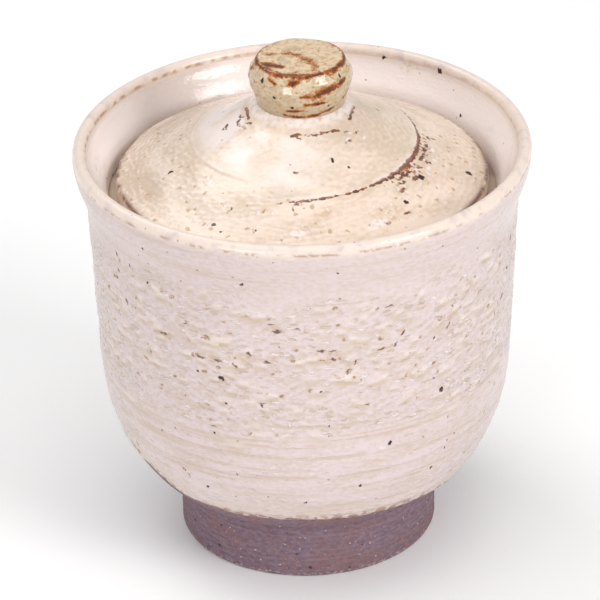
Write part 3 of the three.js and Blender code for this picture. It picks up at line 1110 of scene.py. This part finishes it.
def cup_slip(finish, dragged, strokes, patches, ragged):
    """Pinkish slip, beige where it is thin, with pale bars and crumbs, beige in pocks and grooves, and beige
    painted shadow in the hollow under each bar. Returns its colour and its ripples."""
    thick = finish.total(
        finish.field("slip"),
        finish.times(finish.swing(strokes), 1.5),
        finish.times(finish.swing(finish.noise(0.9, 3)), finish.total(dragged, 0.4)),
        finish.times(finish.swing(patches), 0.25),
        finish.times(finish.noise(22, 2), 0.3),
        0.3,
    )
    skin = finish.tint(BEIGE_SLIP, PALE_SLIP, finish.rise(thick, -0.1, 0.9))
    pocks = finish.grains(1.4, 0.5, 0.4, stretch=(2.2, 2.2, 0.6), place=ragged)
    pocks = finish.times(pocks, finish.total(dragged, 0.12))
    crumbs = finish.grains(1.3, 0.45, 0.35, stretch=(2.6, 2.6, 0.6), place=ragged)
    crumbs = finish.times(crumbs, finish.total(dragged, 0.3))
    grooves = finish.clouds(1.2, 3, 0.46, 0.34, stretch=(40, 40, 1))
    grooves = finish.times(grooves, finish.field("turned_lines"), finish.rise(patches, 0.3, 0.5))
    # Thin slip in pocks and grooves, and painted shadow under the bars where the hollows lie
    thin = finish.most(finish.field("hollows"), finish.times(pocks, 0.8), finish.times(grooves, 0.65))
    skin = finish.tint(skin, THIN_SLIP_AND_SHADOW, finish.times(thin, 0.7))
    skin = finish.tint(skin, WHITE_SLIP, finish.times(finish.most(finish.field("bars"), crumbs), 0.45))
    sunk = finish.most(pocks, finish.times(grooves, 0.6))
    ripples = finish.total(
        finish.times(strokes, finish.total(dragged, 0.15), 2.0),
        finish.times(finish.minus(crumbs, sunk), 0.6),
        finish.times(finish.noise(1.2, 2), 0.4),
    )
    return skin, ripples


def mouth_slip(finish, skin, inside, patches, behind):
    """Light slip inside the cup with painted shade, a little greyer towards the rim and in a patch at the
    back left, and the warmer glaze of the lip."""
    mouth = finish.rise(inside, 0.2, 0.5)
    skin = finish.tint(skin, INSIDE_SLIP, finish.times(mouth, finish.rise(patches, 0.0, 0.4)))
    across = finish.along("X")
    # Painted shade: greyer in a patch at the back left, and a little towards the rim
    back_left = finish.times(finish.rise(across, -36, -29), finish.rise(across, -14, -22), behind)
    near_rim = finish.rise(inside, 0.9, 1.4)
    shade = finish.total(finish.times(back_left, 0.4), finish.times(near_rim, 0.12))
    skin = finish.tint(skin, PAINTED_SHADE_GREY, finish.times(mouth, shade))
    lip = finish.times(finish.field("lip"), finish.clouds(2.4, 3, 0.2, 0.55), 0.95)
    return finish.tint(skin, LIP_GLAZE, lip)


def cup_scars(finish, skin, sheet, dragged, patches, ragged):
    """Ochre stains and freckles, and brown dashes and pits where grains broke through the slip."""
    stains = finish.marks(sheet, UPPER_WALL_RADIUS, CUP_STAINS, length=2.4, soft=0.6)
    skin = finish.tint(skin, OCHRE, finish.times(stains, finish.clouds(1.1, 3, 0.35, 0.7), 0.55))
    freckles = finish.grains(2.1, 0.4, 0.28, place=ragged)
    freckles = finish.times(freckles, finish.rise(patches, 0.42, 0.58), dragged)
    pits = finish.times(finish.rise(finish.field("pits"), 0.15, 0.5), finish.clouds(0.8, 2, 0.3, 0.6))
    skin = finish.tint(skin, OCHRE, finish.times(finish.most(freckles, pits), 0.68))
    brown = finish.most(
        finish.marks(sheet, UPPER_WALL_RADIUS, CUP_LEVEL_DASHES, length=4),
        finish.marks(sheet, UPPER_WALL_RADIUS, CUP_FALLING_DASHES, slant=-45, length=2.2),
        finish.marks(sheet, UPPER_WALL_RADIUS, CUP_RISING_DASHES, slant=45, length=2.2),
        finish.times(finish.rise(pits, 0.6, 1), 0.5),
    )
    worn = finish.clouds(0.7, 2, 0.25, 0.5)
    return finish.tint(skin, DASH_BROWN, finish.times(brown, worn, 0.9))


def rim_lines(finish, skin):
    """Broken lines where the glaze ran thin: amber along the lip's inner edge, most of it on the left, and
    brown along its outer edge."""
    on_left = finish.rise(finish.along("X"), 0, -20)
    inner = finish.times(finish.clouds(2.0, 4, 0.43, 0.6), finish.total(on_left, 0.4))
    outer = finish.times(finish.clouds(5, 2, 0.42, 0.54), finish.clouds(0.9, 3, 0.35, 0.55))
    skin = finish.tint(skin, AMBER, finish.times(finish.field("inner_edge"), inner, 0.75))
    return finish.tint(skin, RIM_BROWN, finish.times(finish.field("outer_edge"), outer, 0.85))


def bare_heel(finish, skin, ripples):
    """Glaze that pools and turns brown towards its lower edge, and bare clay below a ragged line. Returns the
    colour, the bumps, and 1 where the clay is bare."""
    above = finish.field("above_glaze")
    skin = finish.tint(skin, POOLED_GLAZE, finish.times(finish.rise(above, 8, 1), 0.35))
    ragged = finish.total(above, finish.times(finish.noise(2.2, 3), 1.6))
    border = finish.times(finish.rise(ragged, 3.6, 1.2), finish.clouds(1.6, 3, 0.44, 0.56))
    skin = finish.tint(skin, EDGE_BROWN, finish.times(border, 0.8))
    glazed = finish.rise(ragged, 0.65, 0.95)
    bare = finish.minus(1.0, glazed)
    clay, clay_bumps = clay_skin(finish)
    bumps = finish.total(finish.times(ripples, glazed), finish.times(clay_bumps, bare))
    return finish.tint(clay, skin, glazed), bumps, bare


def cream_glaze():
    """Cup: pinkish slip under clear glaze, with scars, iron specks, a warm lip with broken brown edges, and
    bare clay below the glaze line. The inside is the glossiest."""
    finish = Finish("cream_slip_glaze")
    sheet = finish.unrolled(UPPER_WALL_RADIUS, shake=0.7)
    ragged = finish.uneven(0.9, 0.7)
    dragged = finish.field("dragged")
    inside = finish.field("inside")
    strokes = finish.noise(1.3, 4, stretch=(1, 1, 0.5))
    patches = finish.noise(7, 3, stretch=(1, 1, 0.35))
    behind = finish.rise(finish.along("Y"), -5, 8)
    skin, ripples = cup_slip(finish, dragged, strokes, patches, ragged)
    skin = mouth_slip(finish, skin, inside, patches, behind)
    skin = cup_scars(finish, skin, sheet, dragged, patches, ragged)
    skin = rim_lines(finish, skin)
    specks = finish.marks(sheet, UPPER_WALL_RADIUS, CUP_SPECKS)
    scattered = finish.times(finish.grains(6.5, 0.45, 0.3, place=ragged), behind)
    fine = finish.times(finish.grains(3.0, 0.3, 0.5), 0.45)
    skin = finish.tint(skin, IRON_BLACK, finish.most(specks, scattered, fine))
    skin, bumps, bare = bare_heel(finish, skin, ripples)
    gloss = finish.times(inside, -0.09)
    roughness = finish.total(0.16, finish.times(strokes, 0.14), finish.times(bare, 0.6), gloss)
    return finish.fired(skin, roughness, bumps, bump_depth=0.15)


def seat_glaze():
    """Lid seat: the same cream glaze, thinner and warmer, wiped along the ledge where the lid rubs, and
    darkened towards clay as painted shade in the gap under the lid's edge.
    """
    finish = Finish("seat_slip_glaze")
    clouds = finish.total(finish.noise(6, 3), finish.times(finish.field("slip"), 0.4))
    # Partly wiped glaze and partly painted shade: the seat turns towards the dark clay colour
    skin = finish.tint(SEAT_CLAY_AND_SHADE, WARM_GLAZE, finish.rise(clouds, 0.3, 0.7))
    skin = finish.tint(skin, IRON_BROWN, finish.times(finish.grains(5, 0.3, 0.25), 0.7))
    roughness = finish.total(0.3, finish.times(finish.noise(2, 2), 0.2))
    return finish.fired(skin, roughness, finish.noise(1.4, 2), bump_depth=0.08)


# Glaze of the lid

def lid_slip(finish, dragged, clouds, grain):
    """Peach glaze over warm slip, lighter at the front, partly as painted light, and paler on the left,
    inside the spiral and in the streaks outside it, partly white slip and partly painted sheen."""
    slip = finish.field("slip")
    # Painted light in part: the peach grows lighter towards the front
    front = finish.rise(finish.along("Y"), -8, -34)
    thick = finish.total(
        finish.times(slip, 0.12),
        finish.times(finish.field("lumps"), 0.15),
        finish.times(finish.swing(grain), 1.2),
        finish.times(finish.swing(clouds), 1.2),
        finish.times(front, 0.35),
        0.4,
    )
    skin = finish.tint(WARM_GLAZE, PEACH_GLAZE, finish.rise(thick, 0, 1))
    # Painted sheen in part: the white slip is shown only on the left
    left = finish.rise(finish.along("X"), 14, -14)
    streaks = finish.times(finish.rise(slip, 0.1, 0.9), finish.rise(grain, 0.4, 0.6), dragged)
    pale = finish.times(finish.field("inner_zone"), finish.clouds(6, 3, 0.25, 0.6), 0.9)
    slip_and_painted_sheen = finish.most(pale, finish.times(streaks, 0.45))
    return finish.tint(skin, WHITE_SLIP, finish.times(left, slip_and_painted_sheen))


def lid_iron(finish, skin, sheet, near_knob):
    """Iron from dark to rusty along the ridge, the brushed strokes, the lid's edge and dashes, with an amber
    halo beside the ridge."""
    ridge = finish.field("ridge_iron")
    broken = finish.swing(finish.noise(1.1, 4))
    halo = finish.rise(finish.total(ridge, finish.times(broken, 2.0)), 0.25, 0.8)
    skin = finish.tint(skin, AMBER, finish.times(halo, finish.rise(ridge, 0.05, 0.2), 0.4))
    dashes = finish.most(
        finish.marks(sheet, LID_RADIUS, LID_LEVEL_DASHES, length=4),
        finish.marks(sheet, LID_RADIUS, LID_STEEP_DASHES, slant=60, length=2),
        finish.marks(near_knob, NEAR_KNOB_RADIUS, KNOB_SIDE_DASHES, length=3),
    )
    iron = finish.most(
        finish.frayed(ridge, broken, fray=3.2),
        finish.frayed(finish.field("brush_iron"), broken, fray=3.0),
        finish.times(finish.field("corner_iron"), finish.clouds(4, 3, 0.3, 0.45)),
        finish.times(dashes, finish.clouds(0.9, 2, 0.3, 0.5)),
    )
    rust = finish.tint(IRON_DARK, IRON_RUST, finish.clouds(1.3, 3, 0.45, 0.75))
    return finish.tint(skin, rust, finish.times(iron, 0.9))


def lid_flakes(finish, sheet, near_knob):
    """Pale flakes where slip lies thick, with ragged borders."""
    flakes = finish.most(
        finish.marks(sheet, LID_RADIUS, LID_FLAKES, length=2.2),
        finish.marks(near_knob, NEAR_KNOB_RADIUS, KNOB_SIDE_FLAKES, length=1.6),
    )
    return finish.times(flakes, finish.clouds(0.8, 3, 0.36, 0.52))


def warm_glaze():
    """Lid: peach glaze over dragged slip, paler inside the spiral, partly as painted sheen, with ochre stains
    and pocks, iron, pale flakes and crumbs, a painted highlight along the ridge crest, a white fillet that is
    partly painted sheen, and specks."""
    finish = Finish("warm_slip_glaze")
    sheet = finish.fanned(LID_RADIUS, shake=0.5)
    near_knob = finish.fanned(NEAR_KNOB_RADIUS, shake=0.5)
    ragged = finish.uneven(0.9, 0.7)
    dragged = finish.field("dragged")
    clouds = finish.noise(10, 3)
    grain = finish.noise(1.1, 4)
    skin = lid_slip(finish, dragged, clouds, grain)
    stains = finish.marks(sheet, LID_RADIUS, LID_STAINS, length=2.5, soft=0.8)
    skin = finish.tint(skin, OCHRE, finish.times(stains, finish.clouds(1.6, 3, 0.35, 0.75), 0.5))
    pocks = finish.times(finish.grains(1.6, 0.5, 0.3, place=ragged), finish.total(dragged, 0.3))
    skin = finish.tint(skin, OCHRE, finish.times(pocks, 0.55))
    skin = lid_iron(finish, skin, sheet, near_knob)
    flakes = lid_flakes(finish, sheet, near_knob)
    crumbs = finish.times(finish.grains(1.5, 0.5, 0.35, place=ragged), finish.total(dragged, 0.2))
    # Painted highlight along the ridge's crest
    crest = finish.times(finish.field("painted_crest_highlight"), finish.clouds(5, 2, 0.3, 0.6))
    # The fillet is white, partly pale glaze and partly painted sheen
    fillet = finish.times(finish.field("fillet"), finish.rise(grain, 0.25, 0.6), 0.85)
    whitened = finish.most(finish.times(flakes, 0.9), finish.times(crumbs, 0.5), finish.times(crest, 0.5))
    skin = finish.tint(skin, WHITE_SLIP, finish.most(whitened, fillet))
    behind = finish.rise(finish.along("Y"), 0, 8)
    specks = finish.marks(sheet, LID_RADIUS, LID_SPECKS, length=1.4)
    scattered = finish.times(finish.grains(5.5, 0.42, 0.3, place=ragged), behind)
    fine = finish.times(finish.grains(2.6, 0.26, 0.2), 0.45)
    skin = finish.tint(skin, IRON_BLACK, finish.most(specks, scattered, fine))
    roughness = finish.total(0.12, finish.times(clouds, 0.12))
    bumps = finish.total(
        finish.times(grain, finish.total(0.3, dragged)),
        finish.times(finish.noise(0.5, 2), 0.2),
        finish.times(finish.minus(finish.most(crumbs, flakes), pocks), 0.7),
    )
    return finish.fired(skin, roughness, bumps, bump_depth=0.08)


# Glaze of the knob

def knob_ground(finish, clouds):
    """Olive-cream glaze, greyer at the foot of the knob and tan on its top."""
    height = finish.along("Z")
    skin = finish.tint(KNOB_OLIVE, KNOB_CREAM, finish.rise(clouds, 0.3, 0.7))
    low = finish.rise(height, KNOB_BASE + 5, KNOB_BASE + 1)
    skin = finish.tint(skin, KNOB_GREY, finish.times(low, finish.rise(clouds, 0.35, 0.6), 0.7))
    upward = finish.rise(height, KNOB_TOP - 1.2, KNOB_TOP - 0.4)
    return finish.tint(skin, KNOB_TAN, finish.times(upward, finish.rise(clouds, 0.25, 0.6)))


def iron_glaze():
    """Knob: glossy olive-cream glaze with patchy iron, which is dark where it lies thick, rusty where it is
    thinner and amber at its borders, and with flecks and dots."""
    finish = Finish("iron_marked_glaze")
    sheet = finish.unrolled(KNOB_RADIUS, shake=0.4)
    ragged = finish.uneven(0.7, 0.5)
    clouds = finish.noise(2.2, 4, stretch=(1, 1, 0.6))
    skin = knob_ground(finish, clouds)
    flecks = finish.times(finish.grains(1.1, 0.36, 0.45, place=ragged), 0.8)
    mottle = finish.times(finish.clouds(1.0, 5, 0.48, 0.7), 0.6)
    blots = finish.swing(finish.noise(1.2, 4, stretch=(1.6, 1.6, 0.8)))
    threads = finish.swing(finish.noise(0.4, 3))
    thick = finish.total(
        finish.times(finish.field("iron"), 1.15),
        finish.times(blots, 2.2),
        finish.times(threads, 1.4),
    )
    stained = finish.most(finish.times(finish.rise(thick, 0.15, 0.6), 0.85), flecks, mottle)
    skin = finish.tint(skin, AMBER, stained)
    rust = finish.tint(IRON_RUST, IRON_DARK, finish.rise(thick, 0.55, 1.3))
    skin = finish.tint(skin, rust, finish.times(finish.rise(thick, 0.4, 0.9), 0.95))
    specks = finish.marks(sheet, KNOB_RADIUS, KNOB_SPECKS)
    fine = finish.times(finish.grains(1.7, 0.26, 0.3, place=ragged), 0.6)
    skin = finish.tint(skin, IRON_BLACK, finish.most(specks, fine))
    roughness = finish.total(0.05, finish.times(clouds, 0.07))
    return finish.fired(skin, roughness, finish.noise(1.6, 2), bump_depth=0.08)


# The five pieces on the frame

def dress(piece, material, body, node):
    """Gives a piece its material and its place in the frame: its body, and hides the node that it replaces.
    """
    piece.data.materials.append(material)
    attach(piece, body)
    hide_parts(node)


dress(cup_piece(), cream_glaze(), "cup", "cup_body")
dress(foot_piece(), bare_clay(), "cup", "foot_ring")
dress(seat_piece(), seat_glaze(), "cup", "lid_seat_ring")
dress(lid_piece(), warm_glaze(), "lid", "lid_cover")
dress(knob_piece(), iron_glaze(), "lid", "lid_knob")


# Floor, light and camera

FLOOR_HALF = 3000
PAPER_GREY = colour(246, 246, 246)
PAPER_WHITE = colour(250, 250, 250)
SURROUNDINGS = 0.55
SOFTBOX_DISTANCE = 1200
CAMERA_AIM = (-0.94, 0, 49.11)
CAMERA_DISTANCE = 800
CAMERA_ELEVATION = 28.99
CAMERA_ROLL = 1.14
CAMERA_LENS = 239.8

# Softboxes: name, direction from the cup, width, height and watts
SOFTBOXES = [
    ("overhead_softbox", (-0.1, -0.2, 1), 900, 900, 3.4),
    ("high_softbox", (-0.46, 0.36, 0.8), 600, 600, 3.4),
    ("left_softbox", (-0.46, -0.88, 0.12), 420, 280, 3.2),
    ("right_softbox", (0.66, -0.54, 0.52), 480, 480, 6.4),
]


def pale_floor():
    """A large pale sheet under the cup: a square about the origin."""
    corners = np.array(((-1, -1, 0), (1, -1, 0), (1, 1, 0), (-1, 1, 0))) * FLOOR_HALF * MM
    mesh = bpy.data.meshes.new("pale_floor")
    mesh.from_pydata(corners.tolist(), [], [(0, 1, 2, 3)])
    floor = bpy.data.objects.new("pale_floor", mesh)
    bpy.context.scene.collection.objects.link(floor)
    finish = Finish("floor_paper")
    tone = finish.tint(PAPER_GREY, PAPER_WHITE, finish.noise(400, 2))
    roughness = finish.total(0.8, finish.times(finish.noise(300, 2), 0.1))
    mesh.materials.append(finish.fired(tone, roughness, finish.noise(3, 2), bump_depth=0.02))


def softbox(name, direction, width, height, watts):
    """A rectangular light at a distance along a direction from the cup, facing it."""
    light = bpy.data.lights.new(name, "AREA")
    light.shape = "RECTANGLE"
    light.size = width * MM
    light.size_y = height * MM
    light.energy = watts
    lamp = bpy.data.objects.new(name, light)
    bpy.context.scene.collection.objects.link(lamp)
    towards = Vector(direction).normalized()
    lamp.location = (towards * SOFTBOX_DISTANCE + Vector(CAMERA_AIM)) * MM
    lamp.rotation_euler = towards.to_track_quat("Z", "Y").to_euler()


def studio_light():
    """White surroundings with softboxes: overhead, high at the back left, low at the front left, and half-way
    up at the front right."""
    world = bpy.data.worlds.new("white_studio")
    world.use_nodes = True
    background = world.node_tree.nodes["Background"]
    background.inputs["Color"].default_value = (1, 1, 1, 1)
    background.inputs["Strength"].default_value = SURROUNDINGS
    bpy.context.scene.world = world
    for listed in SOFTBOXES:
        softbox(*listed)
    bpy.context.scene.view_settings.view_transform = "Standard"


def photo_camera():
    """A long lens looking down at the cup, rolled a little, at the photograph's angle."""
    rise, roll = math.radians(CAMERA_ELEVATION), math.radians(CAMERA_ROLL)
    level_up = Vector((0, math.sin(rise), math.cos(rise)))
    back = Vector((0, -math.cos(rise), math.sin(rise)))
    level_right = Vector((1, 0, 0))
    up = level_up * math.cos(roll) + level_right * math.sin(roll)
    right = level_right * math.cos(roll) - level_up * math.sin(roll)
    data = bpy.data.cameras.new("photo_camera")
    data.lens = CAMERA_LENS
    data.sensor_fit = "HORIZONTAL"
    camera = bpy.data.objects.new("photo_camera", data)
    bpy.context.scene.collection.objects.link(camera)
    turn = Matrix((right, up, back)).transposed().to_4x4()
    camera.matrix_world = Matrix.Translation((Vector(CAMERA_AIM) + back * CAMERA_DISTANCE) * MM) @ turn
    bpy.context.scene.camera = camera


pale_floor()
studio_light()
photo_camera()
